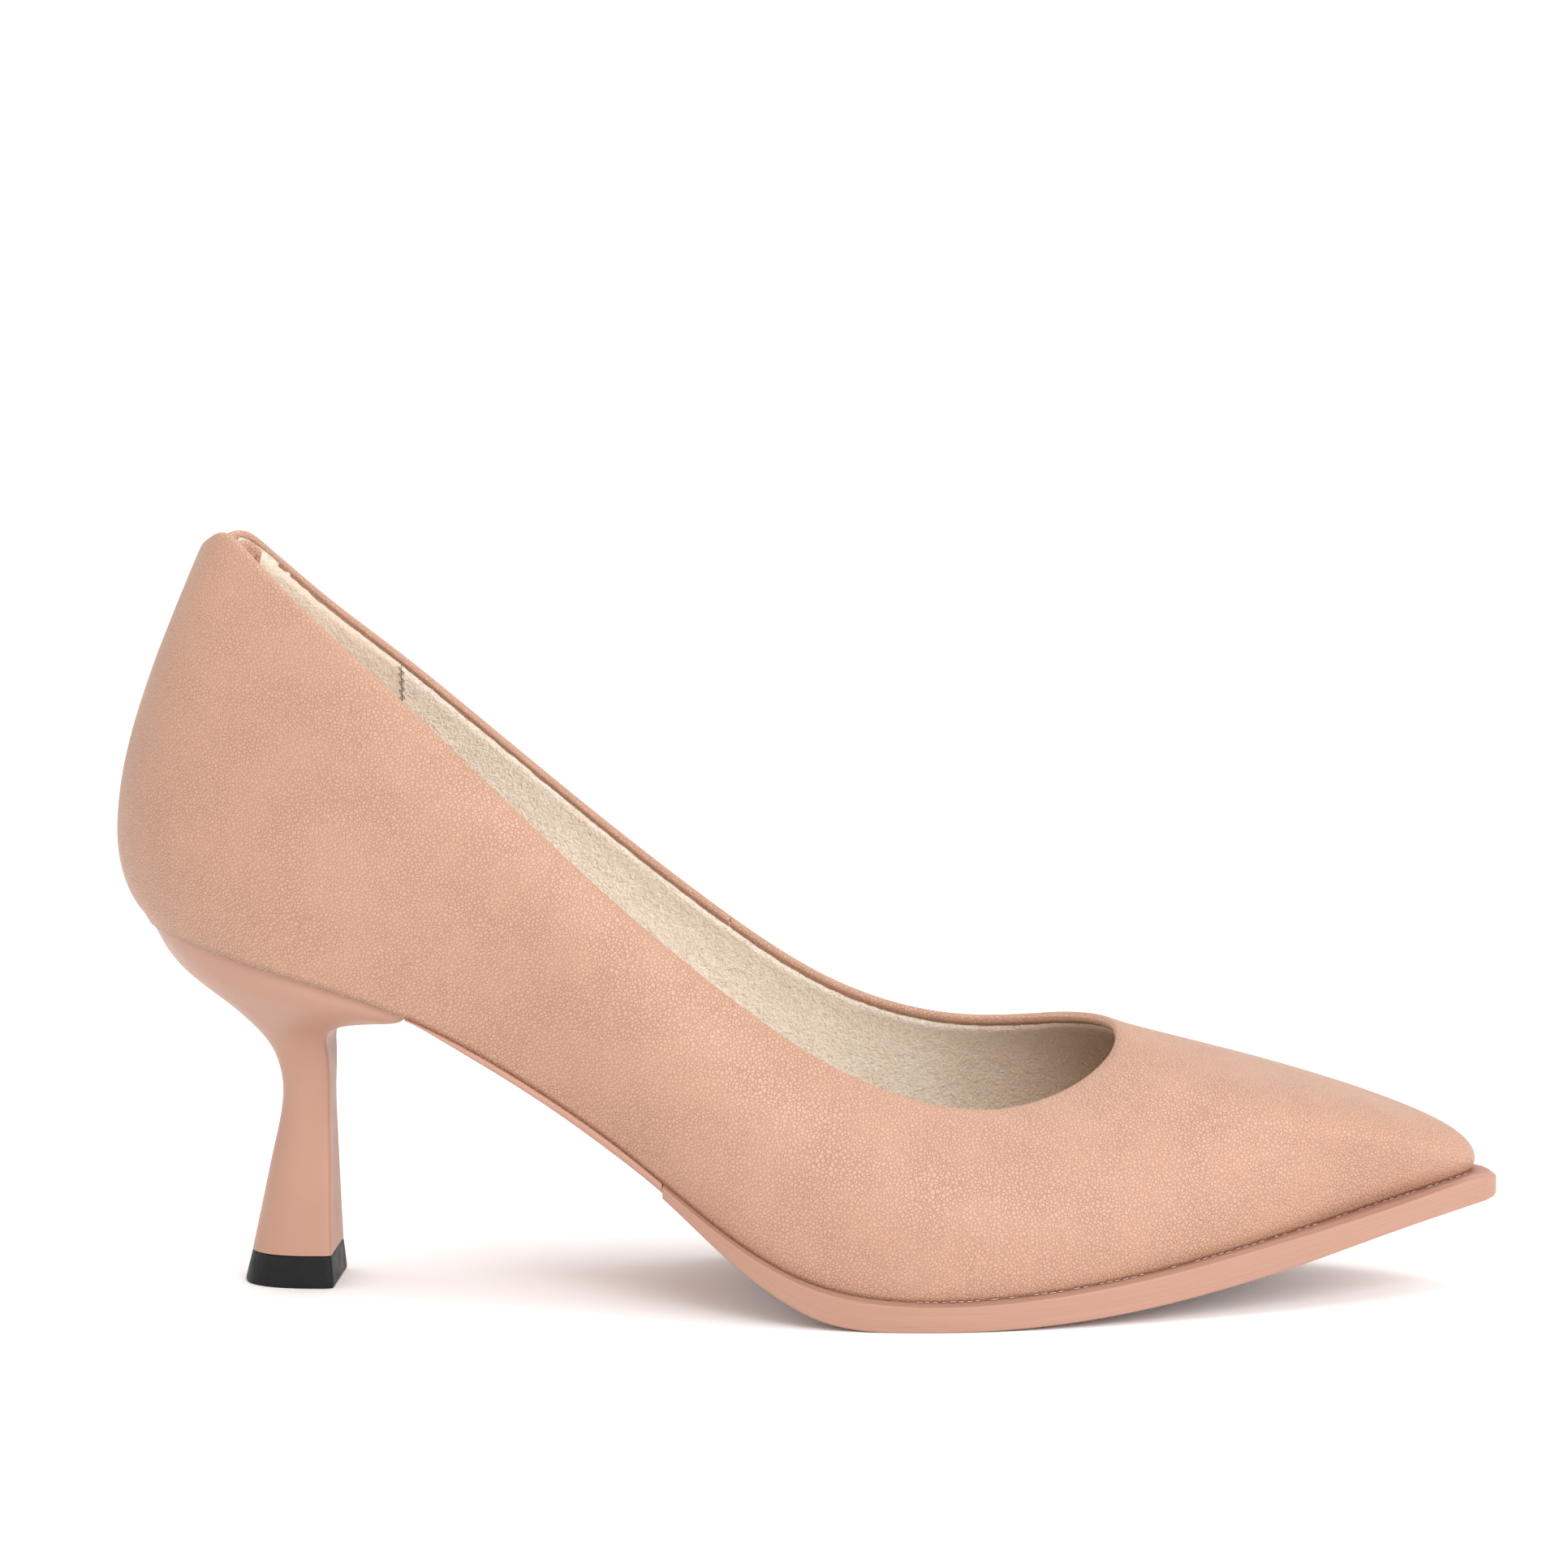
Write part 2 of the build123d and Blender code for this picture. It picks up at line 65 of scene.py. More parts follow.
# ---------------------------------------------------------------- shape
# (x, z) of the feather line, and of the underside of the sole and the waist cover
SEAT = [(-131, 72.2), (-100, 63.4), (-74, 54.6), (-50, 41.6), (-30, 28.2), (-14, 16.2),
        (0, 8.8), (14, 5.9), (30, 5.6), (60, 8.6), (95, 15.6), (131, 24.0)]
GROUND = [(-74, 54.1), (-65, 48.6), (-50, 39.4), (-36, 29.8), (-26, 22.2), (-14, 11.9),
          (-6, 6.1), (2, 2.0), (10, 0.3), (20, 0.01), (31, 0.1), (45, 0.8), (60, 2.4), (75, 5.0), (91, 8.6),
          (107, 12.8), (130, 17.7)]
# (x, y) of the middle line of the bottom, y from the heel's centre plane
CENTRE = [(-104, 0), (-60, -1), (-12, -6.7), (14, -6.5), (40, -3.9), (66, -1.7), (100, -2)]
# ribs from the back seam round the outer side to the toe and back along the inner side:
# feather x, y; topline x, y, z; rise and swell of the foot; reach and drop of the shoulder
RIBS = np.array([
    (-125.0, 0.0, -114.2, 0.0, 139.2, 12, 12.4, 13, 28),     # back seam
    (-121.0, -13.5, -109.4, -9.2, 142.8, 13, 10, 12, 28),
    (-108.0, -23.5, -95.0, -17.2, 131.0, 14, 6, 10, 26),
    (-88.0, -27.0, -79.0, -21.8, 117.0, 14, 5, 10, 22),
    (-62.0, -26.0, -58.5, -25.0, 98.0, 14, 4, 9, 18),
    (-36.0, -29.5, -37.0, -27.3, 78.0, 13, 4, 9, 16),
    (-12.0, -37.5, -14.0, -28.8, 59.0, 12, 4, 9, 13),
    (14.0, -42.6, 6.0, -29.2, 45.8, 11, 4, 10, 10),
    (40.0, -40.4, 24.0, -27.5, 39.0, 10, 4, 12, 8),
    (66.0, -32.4, 38.0, -22.5, 37.8, 10, 4, 16, 6),
    (90.0, -22.4, 48.5, -15.5, 40.2, 9, 4, 24, 6),
    (110.0, -13.2, 55.0, -8.5, 43.6, 9, 4, 34, 8),
    (122.5, -7.6, 57.8, -3.0, 46.6, 9, 4, 42, 10),
    (126.2, -2.4, 58.6, 2.0, 48.9, 9.5, 3, 46, 12),          # toe
    (122.5, 2.8, 58.0, 7.0, 49.6, 9, 4, 42, 11),
    (110.0, 9.2, 55.0, 12.0, 49.9, 9, 4, 34, 10),
    (90.0, 19.0, 48.0, 18.0, 49.5, 9, 4, 24, 10),
    (64.0, 29.0, 37.0, 23.0, 48.3, 10, 4, 16, 10),
    (38.0, 32.6, 22.0, 25.8, 49.2, 11, 4, 12, 11),
    (12.0, 29.5, 4.0, 27.0, 55.2, 12, 4, 9, 13),
    (-14.0, 24.0, -15.0, 27.2, 67.0, 13, 4, 9, 15),          # side seam
    (-38.0, 22.5, -37.0, 26.8, 83.8, 14, 4, 9, 17),
    (-62.0, 24.5, -58.5, 25.0, 101.6, 14, 4, 9, 19),
    (-88.0, 26.5, -79.0, 22.0, 118.8, 14, 5, 10, 22),
    (-108.0, 23.5, -95.0, 17.2, 131.8, 14, 6, 10, 26),
    (-121.0, 13.5, -109.4, 9.2, 143.0, 13, 10, 12, 28),
])
RING = len(RIBS)
SIDE_SEAM = 20
# topline beside the back seam: ribs from the seam, spread, height
PEAKS = ((1.22, 0.22, 0.6), (0.72, 0.2, -0.45))
# (x, y) of the outsole's edge
SOLE_OUTER = [(-26, -33.6), (-12, -38.6), (14, -43.8), (40, -41.8), (66, -34.4), (90, -25.6), (110, -17.2),
              (128, -7.4)]
SOLE_INNER = [(128, 3.4), (110, 13.0), (90, 22.0), (64, 31.0), (38, 34.4), (12, 31.0), (-14, 25.3),
              (-26, 24.0)]
SOLE_TIP = [(129.6, -5.4), (130.4, -3.2), (130.4, -1.0), (129.6, 1.4)]
CORNER = 0.3                    # radius of the sole's corners
LEDGE = 0.7                     # fall of the ledge to the sole's top corner
# front x, z; back x, z; half width of the flat front, and of the rounded back
HEEL = np.array([
    (-71.8, 58.6, -127.2, 75.5, 25.6, 26.2),
    (-73.6, 54.1, -123.5, 68.4, 25.2, 25.4),
    (-76.6, 52.4, -118.6, 61.0, 22.8, 21.6),
    (-83.5, 51.3, -110.6, 54.2, 17.0, 15.4),
    (-89.4, 49.2, -105.3, 49.2, 10.6, 10.0),
    (-90.6, 44.5, -101.8, 44.4, 6.8, 6.6),
    (-90.5, 37.6, -100.1, 37.6, 5.3, 5.3),
    (-90.4, 27.0, -101.6, 27.0, 6.1, 6.0),
    (-90.2, 16.0, -104.0, 16.0, 7.6, 7.4),
    (-90.0, HEEL_FOOT, -106.1, HEEL_FOOT, 9.1, 8.8),
])


def spline(x, v):
    """A natural cubic through knots; v may have several columns."""
    x, v = np.asarray(x, float), np.asarray(v, float)
    h = np.diff(x)
    a = np.eye(len(x))
    r = np.zeros_like(v)
    for i in range(1, len(x) - 1):
        a[i, i - 1:i + 2] = h[i - 1], 2 * (h[i - 1] + h[i]), h[i]
        r[i] = 6 * ((v[i + 1] - v[i]) / h[i] - (v[i] - v[i - 1]) / h[i - 1])
    c = np.linalg.solve(a, r)

    def value(q):
        q = np.asarray(q, float)
        i = np.clip(np.searchsorted(x, q) - 1, 0, len(h) - 1)
        p, b, w = x[i + 1] - q, q - x[i], h[i]
        if v.ndim > 1:
            p, b, w = p[..., None], b[..., None], w[..., None]
        return (c[i] * p**3 + c[i + 1] * b**3) / (6 * w) + (v[i] / w - c[i] * w / 6) * p \
            + (v[i + 1] / w - c[i + 1] * w / 6) * b
    return value


def through(points):
    """A smooth plan curve through points, as a function of the distance run along its chords."""
    points = np.array(points, float)
    run = np.concatenate([[0], np.cumsum(np.hypot(*np.diff(points, axis=0).T))])
    return spline(run, points), run[-1]


seat = spline(*zip(*SEAT))
ground = spline(*zip(*GROUND))
centre = spline(*zip(*CENTRE))
EYE = np.eye(RING)
BEND = np.linalg.solve(4 * EYE + np.roll(EYE, 1, 0) + np.roll(EYE, -1, 0),
                       6 * (np.roll(RIBS, -1, 0) - 2 * RIBS + np.roll(RIBS, 1, 0)))


def rib(s):
    s = np.asarray(s, float)
    i = np.floor(s).astype(int)
    b = (s - i)[..., None]
    a, i, j = 1 - b, i % RING, (i + 1) % RING
    return a * RIBS[i] + b * RIBS[j] + ((a**3 - a) * BEND[i] + (b**3 - b) * BEND[j]) / 6


UP = np.array([0, 0, 1.0])


def unit(v):
    return v / np.maximum(np.linalg.norm(v, axis=-1, keepdims=True), 1e-9)


def arch(s, t):
    """The outer skin: t from the feather line, 0, to the topline, 1."""
    s, t = np.broadcast_arrays(np.asarray(s, float), np.asarray(t, float))
    r = rib(s)
    along = rib(s + 0.001) - rib(s - 0.001)
    out = unit(np.stack([along[..., 1], -along[..., 0], 0 * s], -1))
    foot = np.stack([r[..., 0], r[..., 1] + HEEL_Y, seat(r[..., 0])], -1)
    back = np.minimum(s % RING, -s % RING)
    peak = sum(height * np.exp(-((back - at) / spread)**2) for at, spread, height in PEAKS)
    top = np.stack([r[..., 2], r[..., 3] + HEEL_Y, r[..., 4] + peak], -1)
    knee = foot + r[..., 5, None] * UP + r[..., 6, None] * out
    shoulder = top + r[..., 7, None] * out - r[..., 8, None] * UP
    t = t[..., None]
    return (1 - t)**3 * foot + 3 * (1 - t)**2 * t * knee + 3 * (1 - t) * t**2 * shoulder + t**3 * top


def normal(s, t):
    e = 0.001
    s, t = np.broadcast_arrays(np.asarray(s, float), np.asarray(t, float))
    across = arch(s, np.minimum(t + e, 1)) - arch(s, np.maximum(t - e, 0))
    return unit(np.cross(arch(s + e, t) - arch(s - e, t), across))


def skin(s, t, depth=0.0):
    s, t, depth = np.broadcast_arrays(np.asarray(s, float), np.asarray(t, float), np.asarray(depth, float))
    return arch(s, t) - depth[..., None] * normal(s, t)


def bisect(low, high, past):
    """Where past() turns true between two arrays of t."""
    low, high = np.array(low, float), np.array(high, float)
    for _ in range(22):
        mid = (low + high) / 2
        hit = past(mid)
        high = np.where(hit, mid, high)
        low = np.where(hit, low, mid)
    return high


def foot_t(s, depth, height):
    """The t at which a layer stands a given height above the feather line."""
    def past(t):
        p = skin(s, t, depth)
        return p[..., 2] - seat(p[..., 0]) > height
    return bisect(np.zeros_like(s), np.full_like(s, 0.6), past)


def crown_t(s, below):
    """The t a given distance short of the topline."""
    edge = arch(s, np.ones_like(s))
    return bisect(np.full_like(s, 0.5), np.ones_like(s),
                  lambda t: np.linalg.norm(arch(s, t) - edge, axis=-1) < below)


# ---------------------------------------------------------------- mesh tools
def mesh_piece(name, verts, faces, material):
    mesh = bpy.data.meshes.new(name)
    mesh.from_pydata([tuple(v) for v in np.asarray(verts) * MM], [], faces)
    mesh.validate()
    mesh.update()
    piece = bpy.data.objects.new(name, mesh)
    bpy.context.collection.objects.link(piece)
    mesh.materials.append(material)
    mesh.polygons.foreach_set("use_smooth", [True] * len(mesh.polygons))
    return piece


def grid_faces(n, m, start=0, close_n=False, close_m=False):
    """Quads over an n by m grid of points numbered row by row."""
    faces = []
    for i in range(n if close_n else n - 1):
        for j in range(m if close_m else m - 1):
            a, b = i * m + j, i * m + (j + 1) % m
            c, d = ((i + 1) % n) * m + (j + 1) % m, ((i + 1) % n) * m + j
            faces.append((start + a, start + b, start + c, start + d))
    return faces


def shell_piece(name, outer, inner, material, close=False):
    """A solid between two grids of the same size, rows along the shoe and columns up it."""
    n, m = outer.shape[:2]
    loop = np.concatenate([outer, inner[:, ::-1]], axis=1)
    faces = grid_faces(n, 2 * m, close_n=close, close_m=True)
    if not close:
        for row in (0, n - 1):
            for j in range(m - 1):
                a, b = row * 2 * m + j, row * 2 * m + j + 1
                c, d = row * 2 * m + 2 * m - 2 - j, row * 2 * m + 2 * m - 1 - j
                faces.append((a, d, c, b) if row == 0 else (a, b, c, d))
    piece = mesh_piece(name, loop.reshape(-1, 3), faces, material)
    outward(piece)
    return piece


def outward(piece):
    """Face normals outward, whichever way the grid ran."""
    mesh = piece.data
    mesh.calc_loop_triangles()
    co = np.array([v.co for v in mesh.vertices])
    tri = co[np.array([t.vertices for t in mesh.loop_triangles])]
    if np.einsum("ij,ij->i", tri[:, 0], np.cross(tri[:, 1], tri[:, 2])).sum() < 0:
        mesh.flip_normals()


def sharpen(piece, degrees=40):
    """Flat shading across edges sharper than the angle."""
    piece.data.set_sharp_from_angle(angle=math.radians(degrees))


def relief(points, size, seed=0.0):
    """Smooth noise over points, one value each, -1 to 1."""
    flat = points.reshape(-1, 3) / size
    values = [noise.noise(Vector((p[0] + seed, p[1] - seed, p[2] + 2 * seed))) for p in flat]
    return np.array(values).reshape(points.shape[:-1])


def belongs(piece, slot, *nodes):
    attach(piece, "root")
    if nodes:
        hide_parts(*nodes)


# ---------------------------------------------------------------- materials
def new_material(name):
    material = bpy.data.materials.new(name)
    material.use_nodes = True
    tree = material.node_tree
    return material, tree, tree.nodes["Principled BSDF"]


def node(tree, kind, **values):
    made = tree.nodes.new(kind)
    for key, value in values.items():
        if hasattr(made, key):
            setattr(made, key, value)
        else:
            made.inputs[key.replace("_", " ").title()].default_value = value
    return made


def object_coords(tree, stretch=(1, 1, 1), uv=False):
    coords = node(tree, "ShaderNodeTexCoord")
    mapping = node(tree, "ShaderNodeMapping")
    mapping.inputs["Scale"].default_value = stretch
    tree.links.new(coords.outputs["UV" if uv else "Object"], mapping.inputs["Vector"])
    return mapping.outputs["Vector"]


def noise_tex(tree, coords, scale, detail=2.0, roughness=0.5):
    tex = node(tree, "ShaderNodeTexNoise", scale=scale, detail=detail, roughness=roughness)
    tree.links.new(coords, tex.inputs["Vector"])
    return tex.outputs["Fac"]


def cell_edges(tree, coords, scale):
    """Distance to the nearest border between cells."""
    tex = node(tree, "ShaderNodeTexVoronoi", feature="DISTANCE_TO_EDGE", scale=scale)
    tree.links.new(coords, tex.inputs["Vector"])
    return tex.outputs["Distance"]


def remap(tree, value, low, high, to_low=0.0, to_high=1.0):
    made = node(tree, "ShaderNodeMapRange")
    for key, number in (("From Min", low), ("From Max", high), ("To Min", to_low), ("To Max", to_high)):
        made.inputs[key].default_value = number
    tree.links.new(value, made.inputs["Value"])
    return made.outputs["Result"]


def blend_colors(tree, factor, one, two):
    made = node(tree, "ShaderNodeMix", data_type="RGBA")
    tree.links.new(factor, made.inputs["Factor"])
    for socket, color in ((made.inputs[6], one), (made.inputs[7], two)):
        if isinstance(color, tuple):
            socket.default_value = (*color, 1)
        else:
            tree.links.new(color, socket)
    return made.outputs[2]


def math_op(tree, operation, a, b):
    made = node(tree, "ShaderNodeMath", operation=operation)
    for socket, value in zip(made.inputs, (a, b)):
        if isinstance(value, (int, float)):
            socket.default_value = value
        else:
            tree.links.new(value, socket)
    return made.outputs[0]


def mixed(tree, one, share_one, two, share_two):
    """The weighted sum of two values."""
    one = math_op(tree, "MULTIPLY", one, share_one)
    return math_op(tree, "ADD", one, math_op(tree, "MULTIPLY", two, share_two))


def bump(tree, shader, height, distance, strength=1.0, over=None):
    """Adds relief to a shader, on top of the relief given as over."""
    made = node(tree, "ShaderNodeBump")
    made.inputs["Strength"].default_value = strength
    made.inputs["Distance"].default_value = distance
    tree.links.new(height, made.inputs["Height"])
    if over:
        tree.links.new(over, made.inputs["Normal"])
    tree.links.new(made.outputs["Normal"], shader.inputs["Normal"])
    return made.outputs["Normal"]


def leather(name, light, dark, grain=1.0, rough=0.46, smudge=None):
    """Fine pebbled leather: cells 0.7 mm across with darker creases between, and slow changes of tone."""
    material, tree, shader = new_material(name)
    coords = object_coords(tree)
    tone = remap(tree, noise_tex(tree, coords, 22, 3), 0.35, 0.65)
    fine = remap(tree, noise_tex(tree, coords, 420, 3), 0.3, 0.7)
    tone = mixed(tree, tone, 0.75, fine, 0.25)
    color = blend_colors(tree, tone, light, dark)
    wander = node(tree, "ShaderNodeVectorMath", operation="ADD")
    spread = node(tree, "ShaderNodeTexNoise", scale=900, detail=2)
    tree.links.new(coords, spread.inputs["Vector"])
    shift = node(tree, "ShaderNodeVectorMath", operation="SCALE")
    shift.inputs["Scale"].default_value = 0.0003
    tree.links.new(spread.outputs["Color"], shift.inputs[0])
    tree.links.new(coords, wander.inputs[0])
    tree.links.new(shift.outputs[0], wander.inputs[1])
    crease = remap(tree, cell_edges(tree, wander.outputs[0], 1450), 0.0, 0.13, 1, 0)
    deep = remap(tree, noise_tex(tree, coords, 90, 3), 0.42, 0.62)
    deep = math_op(tree, "ADD", math_op(tree, "MULTIPLY", deep, 0.4), 0.6)
    crease = math_op(tree, "MULTIPLY", crease, deep)
    color = blend_colors(tree, math_op(tree, "MULTIPLY", crease, 0.17 * grain), color, CREASE)
    if smudge:
        spot = node(tree, "ShaderNodeVectorMath", operation="DISTANCE")
        tree.links.new(coords, spot.inputs[0])
        spot.inputs[1].default_value = smudge
        mark = remap(tree, spot.outputs["Value"], 0.0005, 0.0048, 1, 0)
        speck = remap(tree, noise_tex(tree, coords, 700, 4, 0.7), 0.45, 0.7)
        mark = math_op(tree, "MULTIPLY", math_op(tree, "MULTIPLY", mark, speck), 0.55)
        color = blend_colors(tree, mark, color, SMUDGE)
    tree.links.new(color, shader.inputs["Base Color"])
    pores = noise_tex(tree, coords, 2600, 2)
    height = math_op(tree, "SUBTRACT", math_op(tree, "MULTIPLY", pores, 0.4), crease)
    under = bump(tree, shader, noise_tex(tree, coords, 130, 3), 0.0006, 0.07 * grain)
    bump(tree, shader, height, 0.00034, 0.6 * grain, under)
    tree.links.new(remap(tree, noise_tex(tree, coords, 60, 3), 0.3, 0.7, rough - 0.06, rough + 0.08),
                   shader.inputs["Roughness"])
    shader.inputs["Specular IOR Level"].default_value = 0.62
    shader.inputs["Coat Weight"].default_value = 0.18
    shader.inputs["Coat Roughness"].default_value = 0.42
    return material


def suede(name, light, dark, nap=1.0, toe=None):
    """Brushed microsuede: a short nap in patches, soft sheen, dark flecks, and painted shade that turns it
    darker and browner inside the toe.
    """
    material, tree, shader = new_material(name)
    coords = object_coords(tree)
    patches = remap(tree, noise_tex(tree, coords, 180, 4, 0.6), 0.3, 0.7)
    specks = remap(tree, noise_tex(tree, coords, 1250, 3, 0.65), 0.36, 0.62)
    tone = mixed(tree, patches, 0.3, specks, 0.7)
    color = blend_colors(tree, tone, dark, light)
    # painted shade: the colour turns darker and browner from x = 22 to 62 mm, standing in for the shade
    # inside the toe
    if toe:
        run = node(tree, "ShaderNodeSeparateXYZ")
        tree.links.new(coords, run.inputs[0])
        color = blend_colors(tree, remap(tree, run.outputs["X"], 0.022, 0.062), color, toe)
    tree.links.new(color, shader.inputs["Base Color"])
    under = bump(tree, shader, noise_tex(tree, coords, 520, 4, 0.6), 0.0012, 0.7 * nap)
    bump(tree, shader, noise_tex(tree, coords, 1700, 3, 0.7), 0.0009, 0.9 * nap, under)
    shader.inputs["Roughness"].default_value = 0.95
    shader.inputs["Specular IOR Level"].default_value = 0.15
    shader.inputs["Sheen Weight"].default_value = 0.35
    shader.inputs["Sheen Roughness"].default_value = 0.5
    return material


def painted(name, light, dark, rough=0.45, peel=0.12):
    """Satin paint on a moulded part: a little orange peel, rubbed patches."""
    material, tree, shader = new_material(name)
    coords = object_coords(tree)
    tone = remap(tree, noise_tex(tree, coords, 40, 3), 0.35, 0.7)
    tree.links.new(blend_colors(tree, tone, light, dark), shader.inputs["Base Color"])
    bump(tree, shader, noise_tex(tree, coords, 500, 2), 0.0004, peel)
    tree.links.new(remap(tree, noise_tex(tree, coords, 90, 4), 0.3, 0.7, rough - 0.07, rough + 0.07),
                   shader.inputs["Roughness"])
    shader.inputs["Specular IOR Level"].default_value = 0.4
    return material


def sole_edge(name, light, dark, scuff):
    """The painted, brushed edge of the sole: fine lines along its length and a few dark scuffs."""
    material, tree, shader = new_material(name)
    along = object_coords(tree, (30, 2600, 1), uv=True)
    lines = noise_tex(tree, along, 1.0, 3, 0.6)
    marks = object_coords(tree, (90, 1500, 1), uv=True)
    rare = remap(tree, noise_tex(tree, marks, 1.0, 4, 0.7), 0.60, 0.70)
    patch = remap(tree, noise_tex(tree, object_coords(tree, (34, 60, 1), uv=True), 1.0, 1), 0.57, 0.66)
    rare = math_op(tree, "MULTIPLY", rare, patch)
    tone = blend_colors(tree, remap(tree, lines, 0.25, 0.75), light, dark)
    tree.links.new(blend_colors(tree, math_op(tree, "MULTIPLY", rare, 0.75), tone, scuff),
                   shader.inputs["Base Color"])
    bump(tree, shader, lines, 0.0003, 0.2)
    shader.inputs["Roughness"].default_value = 0.5
    shader.inputs["Specular IOR Level"].default_value = 0.35
    return material


def rubber(name, light, dark, rough=0.6, grit=900, gloss=0.5):
    """Moulded rubber or foam: cloudy tone and a fine grit."""
    material, tree, shader = new_material(name)
    coords = object_coords(tree)
    tree.links.new(blend_colors(tree, remap(tree, noise_tex(tree, coords, 150, 4), 0.3, 0.7), light, dark),
                   shader.inputs["Base Color"])
    bump(tree, shader, noise_tex(tree, coords, grit, 3), 0.0004, 0.3)
    tree.links.new(remap(tree, noise_tex(tree, coords, 300, 2), 0.3, 0.7, rough - 0.08, rough + 0.08),
                   shader.inputs["Roughness"])
    shader.inputs["Specular IOR Level"].default_value = gloss
    return material


def woven(name, light, dark, pitch=1400):
    """Cloth or board fibre: crossed fine waves broken up by noise."""
    material, tree, shader = new_material(name)
    coords = object_coords(tree)
    wave_a = node(tree, "ShaderNodeTexWave", bands_direction="X", scale=pitch / 6, distortion=2.0)
    wave_b = node(tree, "ShaderNodeTexWave", bands_direction="Z", scale=pitch / 6, distortion=2.0)
    for wave in (wave_a, wave_b):
        tree.links.new(coords, wave.inputs["Vector"])
    weave = math_op(tree, "MULTIPLY", wave_a.outputs["Fac"], wave_b.outputs["Fac"])
    tree.links.new(blend_colors(tree, weave, dark, light), shader.inputs["Base Color"])
    bump(tree, shader, weave, 0.0003, 0.4)
    shader.inputs["Roughness"].default_value = 0.9
    return material


def steel(name):
    """Drawn steel with fine lines."""
    material, tree, shader = new_material(name)
    coords = object_coords(tree, (40, 900, 900))
    lines = noise_tex(tree, coords, 1.0, 3)
    color = blend_colors(tree, lines, (0.42, 0.42, 0.43), (0.62, 0.62, 0.63))
    tree.links.new(color, shader.inputs["Base Color"])
    tree.links.new(remap(tree, lines, 0.3, 0.7, 0.25, 0.42), shader.inputs["Roughness"])
    shader.inputs["Metallic"].default_value = 1.0
    return material


BLUSH = (0.455, 0.246, 0.160)
BLUSH_DARK = (0.437, 0.234, 0.151)
CREASE = (0.36, 0.18, 0.115)
SMUDGE = (0.30, 0.17, 0.12)
UPPER_LEATHER = leather("upper_leather", BLUSH, BLUSH_DARK, smudge=(-0.0815, -0.021, 0.0775))
FACING_LEATHER = leather("facing_leather", (0.52, 0.285, 0.195), (0.47, 0.25, 0.168))
# the microsuede's toe colour is painted shade for the inside of the toe
SUEDE = suede("microsuede", (0.96, 0.845, 0.72), (0.79, 0.665, 0.53), toe=(0.60, 0.42, 0.29))
GRIP = suede("grip_lining", (0.77, 0.64, 0.52), (0.68, 0.55, 0.44), 0.6)
HEEL_PAINT = painted("heel_paint", (0.43, 0.238, 0.170), (0.40, 0.22, 0.156))
SOLE_PAINT = sole_edge("sole_paint", (0.405, 0.226, 0.163), (0.36, 0.195, 0.139), (0.12, 0.06, 0.045))
# painted shade: the ledge is coloured darker than the sole's edge for the shade in the groove under the
# upper
LEDGE_PAINTED_SHADE = painted("ledge_painted_shade", (0.36, 0.185, 0.135), (0.30, 0.15, 0.108), 0.6)
WAIST_LEATHER = leather("waist_leather", (0.49, 0.26, 0.185), (0.44, 0.228, 0.16), 0.6, 0.45)
TREAD = rubber("tread_rubber", (0.46, 0.36, 0.33), (0.36, 0.28, 0.26), 0.75)
BLACK = rubber("top_piece_rubber", (0.008, 0.008, 0.009), (0.014, 0.014, 0.015), 0.5, 1600, 0.18)
THREAD = woven("thread", (0.62, 0.44, 0.36), (0.46, 0.29, 0.23), 5000)
SEAM_THREAD = woven("seam_thread", (0.55, 0.33, 0.24), (0.42, 0.24, 0.17), 5000)
GREY_THREAD = woven("lining_thread", (0.42, 0.34, 0.27), (0.28, 0.22, 0.17), 5000)
FOAM = rubber("pale_foam", (0.72, 0.68, 0.58), (0.62, 0.58, 0.48), 0.9, 2200)

# ---------------------------------------------------------------- camera
azimuth, elevation, distance = math.radians(1.0), math.radians(4.6), 0.680
backward = Vector((math.sin(azimuth) * math.cos(elevation),
                   -math.cos(azimuth) * math.cos(elevation),
                   math.sin(elevation)))
target = Vector((-4.5, HEEL_Y, 95.1)) * MM
camera_data = bpy.data.cameras.new("camera")
camera_data.lens = 82.55
camera_data.sensor_width = 36
camera = bpy.data.objects.new("camera", camera_data)
bpy.context.collection.objects.link(camera)
camera.location = target + backward * distance
camera.rotation_euler = backward.to_track_quat("Z", "Y").to_euler()
bpy.context.scene.camera = camera


# ---------------------------------------------------------------- upper
def stations(s0, s1, per_rib=20):
    """Rib stations, closer together at the two seams."""
    ends = np.array([0.0, 0.006, 0.014, 0.025, 0.04, 0.06, 0.09])
    middle = np.linspace(s0 + 0.12, s1 - 0.12, int((s1 - s0) * per_rib))
    return np.concatenate([s0 + ends, middle, s1 - ends[::-1]])


def seam_dip(s, seams, depth=0.28, width=0.035):
    """The groove pressed in along each seam; width is in ribs."""
    return sum(depth * np.exp(-((s - x) / width)**2) for x in seams)


